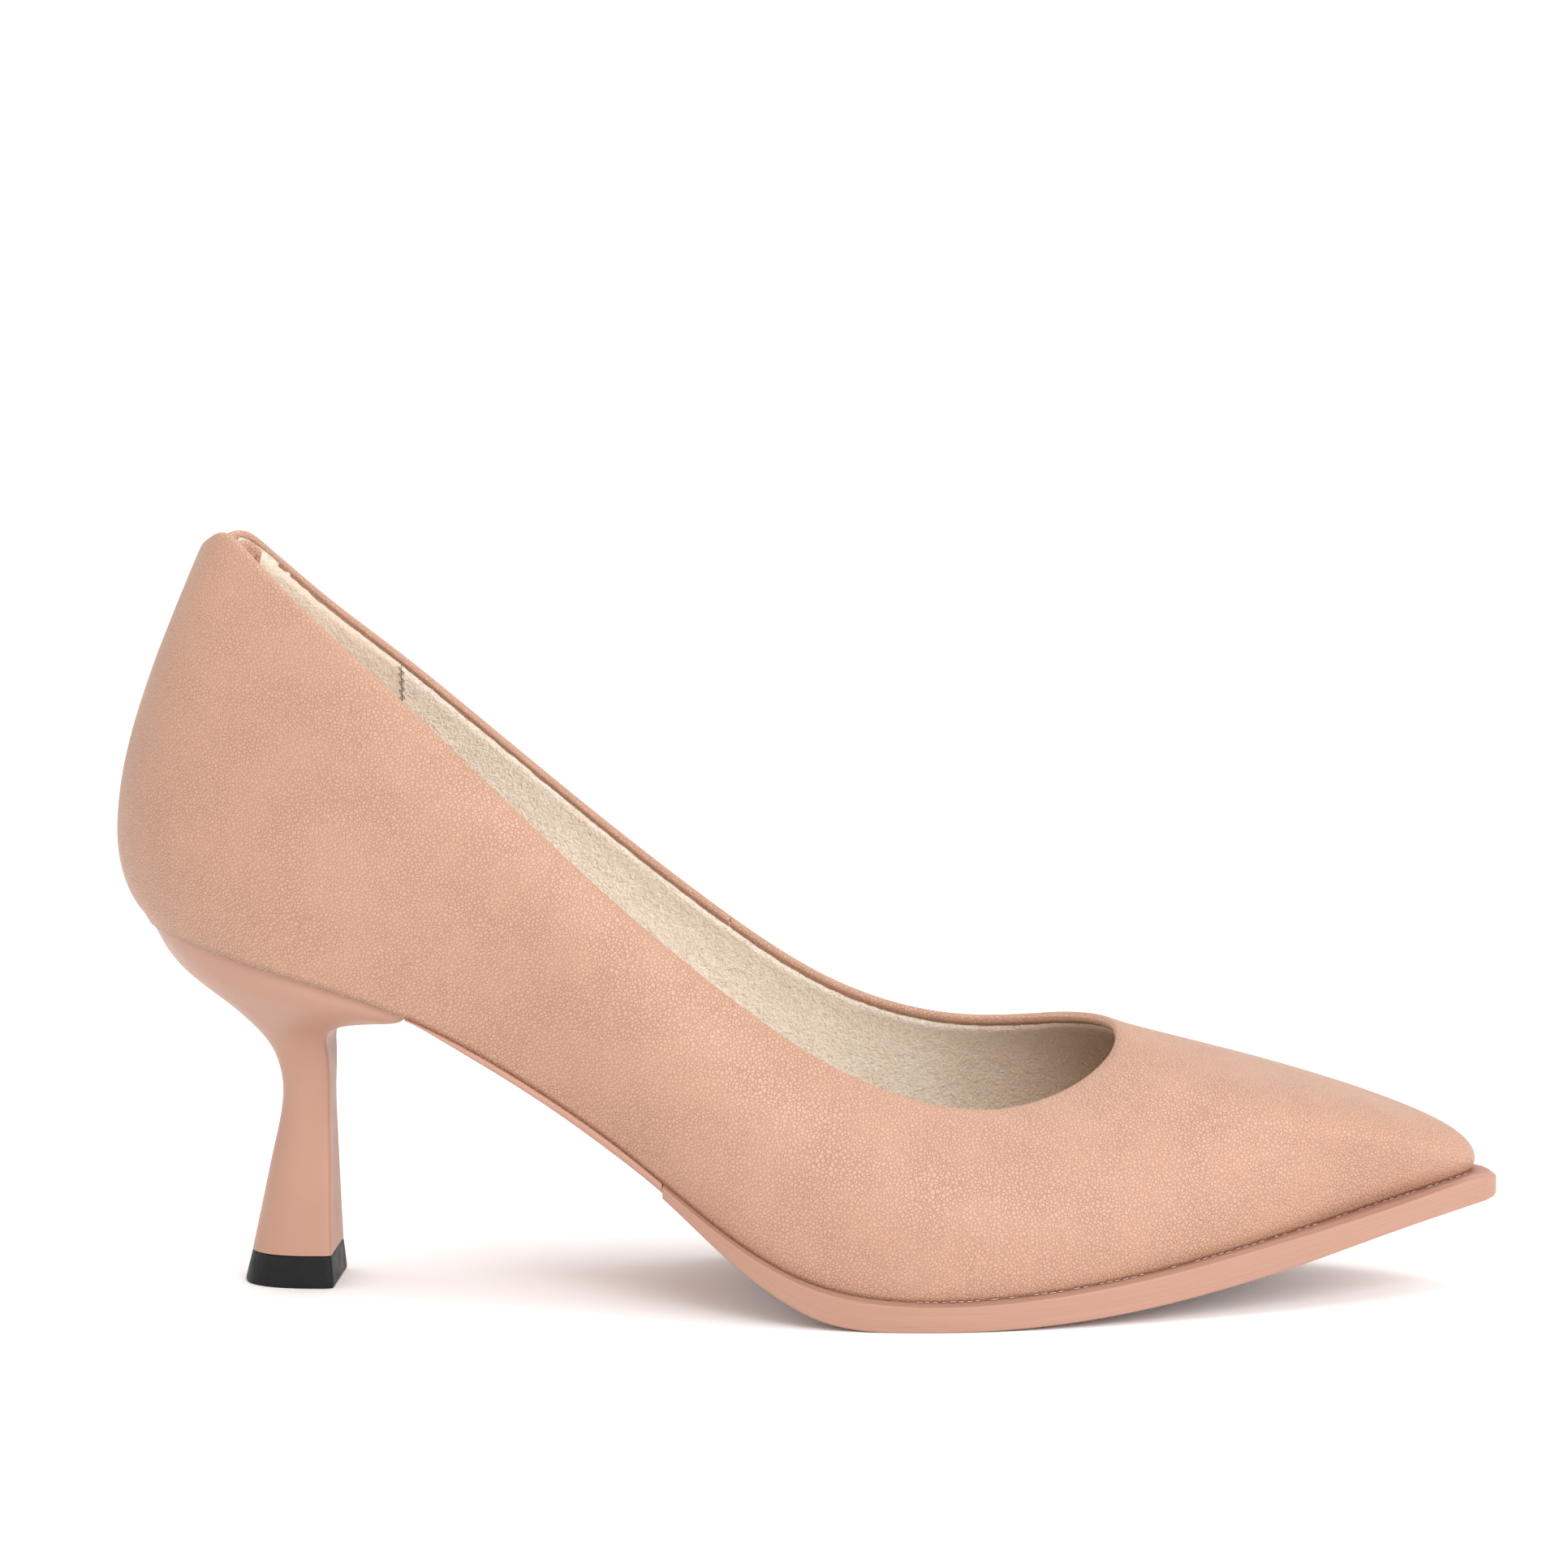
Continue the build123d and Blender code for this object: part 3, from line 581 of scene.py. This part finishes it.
def leather_wall(name, s0, s1, material, seams):
    """The leather from the feather line up, over the folded topline and back down inside."""
    s = stations(s0, s1)[:, None]
    edge = crown_t(s[:, 0], ROLL)[:, None]
    t = edge * np.linspace(0, 1, 64)[None, :]**0.9
    fold = crown_t(s[:, 0], 6.5)[:, None]
    low = arch(s, 0)[..., 0]
    tuck = (0.12 + 0.22 * np.clip((low + 30) / 20, 0, 1)) * np.clip(1 - t * 9, 0, 1)**2
    face = arch(s, t)
    wave = 0.16 * relief(face, 24, 3.1) + 0.07 * relief(face, 9, 7.7)
    calm = np.clip(t * 8, 0, 1) * np.clip((edge - t) * 12, 0.25, 1)
    outer = skin(s, t, seam_dip(s, seams) + tuck - wave * calm)
    ease = np.clip((t - fold) / (0.3 * (edge - fold)), 0, 1)
    inner = skin(s, t, SKIN + (2 * ROLL - 0.02 - SKIN) * ease)
    for side in (outer, inner):
        side[:, 0, 2] -= LASTED
    n = normal(s[:, 0], edge[:, 0])
    u = unit(arch(s[:, 0], edge[:, 0]) - arch(s[:, 0], edge[:, 0] - 0.002))
    c = arch(s[:, 0], edge[:, 0]) - (ROLL + 0.05) * n
    turn = np.linspace(0.12, math.pi / 2, 6)
    front = [c + ROLL * (math.cos(a) * n + math.sin(a) * u) for a in turn]
    back = [c + ROLL * (-math.cos(a) * n + math.sin(a) * u) for a in turn]
    outer = np.concatenate([outer, np.stack(front, 1)], axis=1)
    inner = np.concatenate([inner, np.stack(back, 1)], axis=1)
    return shell_piece(name, outer, inner, material)


vamp = leather_wall("vamp_leather", 0.006, SIDE_SEAM - 0.004, UPPER_LEATHER, (0.0, RING, SIDE_SEAM))
belongs(vamp, "blush_leather", "vamp")
quarter = leather_wall("inner_quarter_leather", SIDE_SEAM + 0.004, RING - 0.006, UPPER_LEATHER,
                       (0.0, RING, SIDE_SEAM))
belongs(quarter, "blush_leather", "inner_quarter")


def lining_wall(name, s0, s1, depths, low, below, material, rough_edge=0.25, columns=40):
    """A lining sheet inside the leather, its upper edge a little below the topline."""
    s = stations(s0, s1, 16)[:, None]
    flat = arch(s[:, 0], np.ones(len(s)))
    ragged = rough_edge * relief(flat, 2.2, 5.5) + 0.5 * rough_edge * relief(flat, 0.9, 1.5)
    high = crown_t(s[:, 0], below + ragged)[:, None]
    bottom = low(s[:, 0])[:, None]
    t = bottom + (high - bottom) * np.linspace(0, 1, columns)[None, :]**0.8
    spot = arch(s, t)
    nap = 0.10 * relief(spot, 3.5, 2.2) + 0.25 * relief(spot, 18, 9.1)
    lip = np.clip((t - high) / (crown_t(s[:, 0], below + 1.2)[:, None] - high), 0, 1)
    inner = skin(s, t, depths[1] - 0.35 * (1 - lip)**2 + nap * 0.4 * lip)
    outer = skin(s, t, depths[0])
    return shell_piece(name, outer, inner, material)


def to_sock(s):
    return foot_t(s, LINING[1], SOCK_TOP - 2.0)


lining = lining_wall("suede_lining", 3.0, RING - 3.0, LINING, to_sock, 1.7, SUEDE)
belongs(lining, "microsuede", "vamp_lining")
grip = lining_wall("heel_grip", RING - 2.99, RING + 2.99, LINING, to_sock, 1.7, GRIP)
belongs(grip, "lining_smooth", "heel_grip_lining")
facing = lining_wall("back_facing_leather", RING - 1.35, RING + 1.35, FACING, lambda s: 0.8 + 0 * s, 1.2,
                     FACING_LEATHER, 0.05, 24)
belongs(facing, "blush_leather", "back_facing")


# ---------------------------------------------------------------- footbed
def footbed():
    """The foam pad and the sock, in rings from the shoe's middle line out to the lining."""
    around = np.linspace(0, RING, 520, endpoint=False)
    wall = LINING[1] + 0.1
    rim = skin(around, foot_t(around, wall, SOCK_TOP), wall)
    hub_x = np.clip(rim[:, 0], -104, 98)
    hub = np.stack([hub_x, centre(hub_x) + HEEL_Y], -1)
    rings = []
    for share in np.linspace(0, 1, 34)**0.7:
        plan = hub + (rim[:, :2] - hub) * share
        lift = 0.9 * np.clip((share - 0.86) / 0.14, 0, 1)**2
        point = np.column_stack([plan, seat(plan[:, 0]) + SOCK_TOP - 0.5 + lift])
        point[:, 2] += 0.12 * relief(point, 14, 4.4)
        rings.append(point)
    top = np.stack(rings, 1)
    plan = hub[:, None] + (top[..., :2] - hub[:, None]) * 0.985
    low, high = (np.dstack([plan, seat(plan[..., 0]) + level]) for level in PAD)
    pad = shell_piece("footbed_pad", high, low, FOAM, close=True)
    sock = shell_piece("sock", top, top - [0, 0, SOCK], SUEDE, close=True)
    for piece in (pad, sock):
        sharpen(piece, 60)
    return pad, sock


pad, sock = footbed()
belongs(pad, "foam", "footbed_foam")
belongs(sock, "microsuede", "sock_lining")


# ---------------------------------------------------------------- sole
def sole_outline():
    """The outsole from above: two long curves, a blunt tip and a straight end under the waist."""
    outer_edge, outer_run = through(SOLE_OUTER)
    inner_edge, inner_run = through(SOLE_INNER)
    end = np.column_stack([np.full(12, SOLE_OUTER[0][0]), np.linspace(22, -31.6, 12)])
    return np.concatenate([outer_edge(np.linspace(0, outer_run, 300)), SOLE_TIP,
                           inner_edge(np.linspace(0, inner_run, 300)), end]) + [0, HEEL_Y]


def sole_top(x):
    """The sole's upper face, bent down under the tip of the toe."""
    return seat(x) - 0.1 - 1.7 * (np.clip(x - 123.5, 0, 7) / 7)**2


def outsole():
    """One closed grid: in rings out over the underside, up the painted edge and in over the ledge."""
    outline = sole_outline()
    hub_x = np.clip(outline[:, 0], -22, 102)
    inwards = np.stack([hub_x, centre(hub_x) + HEEL_Y], -1) - outline
    reach = np.linalg.norm(inwards, axis=-1, keepdims=True)
    inwards /= reach

    def ring(inset, face, rise):
        plan = outline + inwards * np.minimum(inset, reach)
        return np.column_stack([plan, face(plan[:, 0]) + rise])

    turn = np.linspace(0, math.pi / 2, 6)
    under = [ring(inset, ground, rise) for inset, rise in
             ((60, 0.4), (26, 0.4), (16, 0.4), (10, 0.4), (6.2, 0.4), (5.6, 0.3), (2.4, 0.06), (1.4, 0))]
    under += [ring(CORNER * (1 - math.sin(a)), ground, CORNER * (1 - math.cos(a))) for a in turn]
    over = [ring(inset, sole_top, 0) for inset in (60, 26, 16, 10, 6.2, 4.2, 2.4)]
    over += [ring(1.2, sole_top, -LEDGE / 4)]
    over += [ring(CORNER * (1 - math.sin(a)), sole_top, -LEDGE - CORNER * (1 - math.cos(a))) for a in turn]
    under, over = np.stack(under, 1), np.stack(over, 1)
    wall = under[:, -1:] + (over[:, -1:] - under[:, -1:]) * np.linspace(0, 1, 9)[None, 1:-1, None]
    worn = 0.05 * relief(wall, 6, 8.8) + 0.03 * relief(wall, 1.7, 2.8)
    wall[..., :2] += inwards[:, None] * worn[..., None]
    loop = np.concatenate([under, wall, over[:, ::-1]], axis=1)
    piece = mesh_piece("outsole_edge", loop.reshape(-1, 3),
                       grid_faces(len(loop), loop.shape[1], close_n=True, close_m=True), SOLE_PAINT)
    # the ledge faces take the darker ledge material, painted shade for the groove under the upper
    piece.data.materials.append(LEDGE_PAINTED_SHADE)
    painted_shade_from = loop.shape[1] - over.shape[1] + len(turn)
    for polygon in piece.data.polygons:
        polygon.material_index = int(polygon.index % loop.shape[1] >= painted_shade_from)
    outward(piece)
    edge_uv(piece, outline, loop)
    sharpen(piece, 50)
    return piece


def edge_uv(piece, outline, loop):
    """UV in metres: the run along the outline, and the height over the sole's underside."""
    steps = np.hypot(*np.diff(outline, axis=0, append=outline[:1]).T)
    girth = np.concatenate([[0], np.cumsum(steps[:-1])])
    height = (loop[..., 2] - ground(loop[..., 0])) * MM
    run = np.stack([np.broadcast_to(girth[:, None], loop.shape[:2]) * MM, height], -1).reshape(-1, 2)
    used = np.array([corner.vertex_index for corner in piece.data.loops])
    piece.data.uv_layers.new(name="run").data.foreach_set("uv", run[used].ravel())


belongs(outsole(), "sole_compound", "outsole")


def side_y(x, sign):
    """The feather line's y at x, on the outer side (-1) or the inner side (1)."""
    s = np.linspace(0, 13, 1500) if sign < 0 else np.linspace(13, RING, 1500)
    r = rib(s)
    order = np.argsort(r[:, 0])
    return np.interp(x, r[order, 0], r[order, 1]) + HEEL_Y


def tread(inset=6, pitch=3.1, depth=0.42, proud=0.45):
    """The rubber patch: cross grooves, standing a little proud of the sole towards the toe."""
    x = np.linspace(-13.6, 103.6, 470)[:, None]
    share = np.sin(np.linspace(-math.pi / 2, math.pi / 2, 41))[None, :]
    low_y, high_y = side_y(x, -1) + inset, side_y(x, 1) - inset
    end_round = np.sqrt(np.clip(1 - ((x - 45) / 58.8)**10, 0.02, 1))
    y = (low_y + high_y) / 2 + (high_y - low_y) / 2 * share * end_round
    drop = proud * np.clip((x - 34) / 30, 0, 1)
    groove = depth * np.clip(np.cos(x / pitch * 2 * math.pi) * 3 - 1.6, 0, 1)
    border = np.clip((1 - np.abs(share)) * 40, 0, 1)
    face = ground(x) + 0.02 - drop + groove * border + 0.3 * (1 - border)
    bottom = np.stack(np.broadcast_arrays(x, y, face), -1)
    lid = bottom.copy()
    lid[..., 2] = (ground(x) + 0.95) * np.ones_like(share)
    piece = shell_piece("tread_pad", bottom, lid, TREAD)
    sharpen(piece, 35)
    return piece


def waist(overhang=0.55, lip=0.35, round_in=1.3):
    """The leather-wrapped strip under the arch, its edges rounded under."""
    x = np.linspace(WAIST_X[0], WAIST_X[1], 90)[:, None]
    share = np.sin(np.linspace(-math.pi / 2, math.pi / 2, 49))[None, :]
    low_y, high_y = side_y(x, -1) - overhang, side_y(x, 1) + overhang
    middle, half = (low_y + high_y) / 2, (high_y - low_y) / 2
    y = middle + half * share
    roof = seat(x) - HEEL_GAP
    sag = np.minimum(ground(x) + 0.05 + 0.6 * np.clip(x + 60, 0, 34)**2 / 34**2, seat(x) - 0.8)
    edge = np.clip((np.abs(y - middle) - half + round_in) / round_in, 0, 1)
    edge = np.sqrt(np.clip(1 - edge**2, 0, 1))
    belly = 0.3 * (1 - (np.abs(y - middle) / half)**2)
    high = np.stack(np.broadcast_arrays(x, y, roof - lip * (1 - edge)), -1)
    low = np.stack(np.broadcast_arrays(x, y, roof - lip - (roof - lip - sag + belly) * edge), -1)
    piece = shell_piece("waist_leather", high, low, WAIST_LEATHER)
    sharpen(piece, 60)
    return piece


belongs(tread(), "tread_compound", "tread_patch")
belongs(waist(), "blush_leather", "waist_cover")


# ---------------------------------------------------------------- heel
def dee(length, front, back, soft=0.9, count=34):
    """A D section as (run from the flat front, offset to one side), its two front corners rounded."""
    t = np.linspace(0, 1, count)[:, None]**1.1
    bend = (3 * (1 - t)**2 * t * [0.5 * length, 1.1 * front] + 3 * (1 - t) * t**2 * [length, 0.9 * back]
            + t**3 * [length, 0] + (1 - t)**3 * [0, front])
    bend = bend[bend[:, 0] > soft]
    want = np.linspace(0, len(bend) - 1, count)
    bend = np.column_stack([np.interp(want, np.arange(len(bend)), column) for column in bend.T])
    flat = np.column_stack([np.zeros(9), np.linspace(0, front - soft, 9)])
    a = np.linspace(0, math.pi / 2, 7)[1:-1]
    arc = np.column_stack([soft * (1 - np.cos(a)), front - soft + soft * np.sin(a)])
    half = np.concatenate([flat, arc, bend])
    return np.concatenate([half, half[-2:0:-1] * [1, -1]])


def heel_ring(values):
    """One row of the heel table as a ring of points on its sloping plane."""
    fx, fz, bx, bz, front, back = values
    length = math.hypot(bx - fx, bz - fz)
    ring = dee(length, front, back)
    return np.column_stack([fx + ring[:, 0] / length * (bx - fx), HEEL_Y + ring[:, 1],
                            fz + ring[:, 0] / length * (bz - fz)])


def capped_tower(name, rows, material):
    """A solid of stacked rings, closed at both ends by fans."""
    n, m = rows.shape[:2]
    verts = np.concatenate([rows.reshape(-1, 3), [rows[0].mean(0)], [rows[-1].mean(0)]])
    faces = grid_faces(n, m, close_m=True)
    for j in range(m):
        faces.append((j, n * m, (j + 1) % m))
        faces.append(((n - 1) * m + (j + 1) % m, n * m + 1, (n - 1) * m + j))
    piece = mesh_piece(name, verts, faces, material)
    outward(piece)
    sharpen(piece, 50)
    return piece


def moulded_heel():
    """Rings down the heel, every column of points starting where it passes under the seat."""
    fall = np.hypot(*np.diff(HEEL[:, :4], axis=0).reshape(-1, 2, 2).sum(1).T)
    fall = np.concatenate([[0], np.cumsum(fall)])
    flow = spline(fall, HEEL)
    runs = np.linspace(0, fall[-1], 260)
    stack = np.stack([heel_ring(flow(u)) for u in runs])
    clear = stack[..., 2] - (seat(stack[..., 0]) - 0.12)
    columns = []
    for k in range(stack.shape[1]):
        first = np.argmax(clear[:, k] < 0)
        share = clear[first - 1, k] / (clear[first - 1, k] - clear[first, k])
        start = runs[first - 1] + share * (runs[first] - runs[first - 1])
        want = start + (runs[-1] - start) * np.linspace(0, 1, 150)**1.25
        columns.append(np.column_stack([np.interp(want, runs, stack[:, k, i]) for i in range(3)]))
    return capped_tower("heel", np.stack(columns, 1), HEEL_PAINT)


def top_piece():
    """The black top piece, its rims rounded in at the floor and under the heel."""
    rows = []
    for share, pull in ((0, 0.35), (0.05, 0.08), (0.12, 0), (0.5, 0), (0.9, 0), (0.97, 0.06), (1, 0.25)):
        ring = dee(18.2 - 2.1 * share, 9.7 - 0.6 * share, 9.4 - 0.6 * share, 0.8)
        ring = (ring - [9, 0]) * (1 - pull / 9) + [9, 0]
        rows.append(np.column_stack([-89.4 - 0.6 * share - ring[:, 0], HEEL_Y + ring[:, 1],
                                     np.full(len(ring), share * (HEEL_FOOT - 0.1))]))
    return capped_tower("heel_lift", np.stack(rows), BLACK)


belongs(moulded_heel(), "painted_heel", "heel_block")
belongs(top_piece(), "top_piece_compound", "top_piece")


# ---------------------------------------------------------------- thread
def threads(name, spans, radius, material, bow=0.0):
    """Short stitches: each span is (from, to, the way up), drawn as a thin tapered tube."""
    taper = ((0, 0.25), (0.12, 0.8), (0.35, 1), (0.65, 1), (0.88, 0.8), (1, 0.25))
    sides = 8
    verts, faces = [], []
    for start, end, up in spans:
        base = len(verts)
        along = unit(end - start)
        across = unit(np.cross(along, up))
        for share, fat in taper:
            middle = start + (end - start) * share + up * bow * math.sin(math.pi * share)
            for a in np.linspace(0, 2 * math.pi, sides, endpoint=False):
                verts.append(middle + radius * fat * (math.cos(a) * across + math.sin(a) * up))
        faces += grid_faces(len(taper), sides, base, close_m=True)
        faces += [tuple(range(base, base + sides)), tuple(range(len(verts) - 1, len(verts) - 1 - sides, -1))]
    return mesh_piece(name, verts, faces, material)


def sole_spans():
    """Uneven bits of the sole's seam, lying in the groove under the upper."""
    rng = np.random.default_rng(7)
    spans = []
    for x in np.arange(20, 125, 1.5):
        for sign in (-1, 1):
            x0, x1 = x + rng.uniform(-0.2, 0.2), x + rng.uniform(0.7, 1.2)
            y0, y1 = side_y(np.array([x0, x1]), sign) + sign * (0.12 + rng.uniform(0, 0.12))
            rise = rng.uniform(0.0, 0.14)
            if rng.random() < 0.72:
                start = np.array([x0, y0, sole_top(x0) + rise])
                spans.append((start, np.array([x1, y1, sole_top(x1) + rise]), UP))
    return spans


def seam_spans():
    """Stitches down the two edges of the back facing, and two rows along the side seam."""
    spans = []
    for sign in (-1, 1):
        s = RING + sign * 1.3
        for below in np.arange(2.6, 21, 2.1):
            t0, t1 = crown_t(np.array([s, s]), np.array([below, below + 1.5]))
            p, q = skin(s, t0, FACING[1] + 0.1), skin(s, t1, FACING[1] + 0.1)
            spans.append((p, q, -normal(s, t0)))
    for side in (-0.055, 0.055):
        s = SIDE_SEAM + side
        for below in np.arange(1.5, 44, 2.6):
            t0, t1 = crown_t(np.array([s, s]), np.array([below, below + 1.9]))
            spans.append((skin(s, t0, -0.05), skin(s, t1, -0.05), normal(s, t0)))
    return spans


def zigzag_spans():
    """The zigzag that joins the suede to the heel lining, on either side."""
    spans = []
    for joint in (3.0, RING - 3.0):
        for i, below in enumerate(np.arange(1.8, 30, 0.9)):
            side = 0.032 if i % 2 else -0.032
            ends = np.array([joint - side, joint + side])
            t = crown_t(ends, np.array([below, below + 0.75]))
            p, q = skin(ends, t, LINING[1] + 0.02)
            spans.append((p, q, -normal(joint, t[0])))
    return spans


belongs(threads("sole_thread", sole_spans(), 0.1, THREAD), "tape")
belongs(threads("seam_stitches", seam_spans(), 0.17, SEAM_THREAD, 0.12), "tape")
belongs(threads("lining_stitches", zigzag_spans(), 0.12, GREY_THREAD, 0.08), "tape")

# ---------------------------------------------------------------- inner layers
STIFF = painted("counter_board", (0.50, 0.44, 0.36), (0.42, 0.36, 0.29), 0.7)
CLOTH = woven("interlining", (0.82, 0.79, 0.72), (0.70, 0.66, 0.58))
BOARD = woven("board_fibre", (0.46, 0.34, 0.24), (0.36, 0.26, 0.18), 900)
FELT = suede("grey_felt", (0.38, 0.36, 0.34), (0.28, 0.26, 0.25))
STEEL = steel("spring_steel")
for name, material in (("toe_puff", STIFF), ("heel_counter", STIFF), ("interlining_outer", CLOTH),
                       ("interlining_inner", CLOTH), ("interlining_vamp", CLOTH), ("topline_tape", CLOTH),
                       ("insole_board", BOARD), ("shank_board", BOARD), ("steel_shank", STEEL),
                       ("shank_rivets", STEEL), ("bottom_filler", FELT),
                       ("heel_tube", STEEL), ("heel_screw", STEEL), ("heel_nails", STEEL),
                       ("top_piece_pin", STEEL)):
    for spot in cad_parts[name].material_slots:
        spot.material = material

# ---------------------------------------------------------------- room
bpy.ops.mesh.primitive_plane_add(size=12)
floor = bpy.context.object
floor.name = "floor"
floor_material, tree, shader = new_material("floor_paper")
shader.inputs["Base Color"].default_value = (1, 1, 1, 1)
shader.inputs["Roughness"].default_value = 0.9
floor.data.materials.append(floor_material)

world = bpy.data.worlds.new("studio")
bpy.context.scene.world = world
world.use_nodes = True
world.node_tree.nodes["Background"].inputs["Color"].default_value = (1, 1, 1, 1)
world.node_tree.nodes["Background"].inputs["Strength"].default_value = 1.02
bpy.context.scene.view_settings.view_transform = "Standard"


def softbox(name, where, size, watts):
    """An area lamp turned towards the shoe."""
    lamp = bpy.data.lights.new(name, "AREA")
    lamp.shape = "RECTANGLE"
    lamp.size, lamp.size_y = size
    lamp.energy = watts
    holder = bpy.data.objects.new(name, lamp)
    bpy.context.collection.objects.link(holder)
    holder.location = where
    holder.rotation_euler = (Vector(where) - Vector((0, 0, 0.06))).to_track_quat("Z", "Y").to_euler()


softbox("key", (0.30, -0.85, 0.70), (0.55, 0.55), 5)
softbox("fill", (0.9, -0.75, 0.30), (0.7, 0.5), 4)
softbox("top", (0.1, 0.1, 1.2), (1.2, 0.8), 6)

bpy.context.view_layer.update()
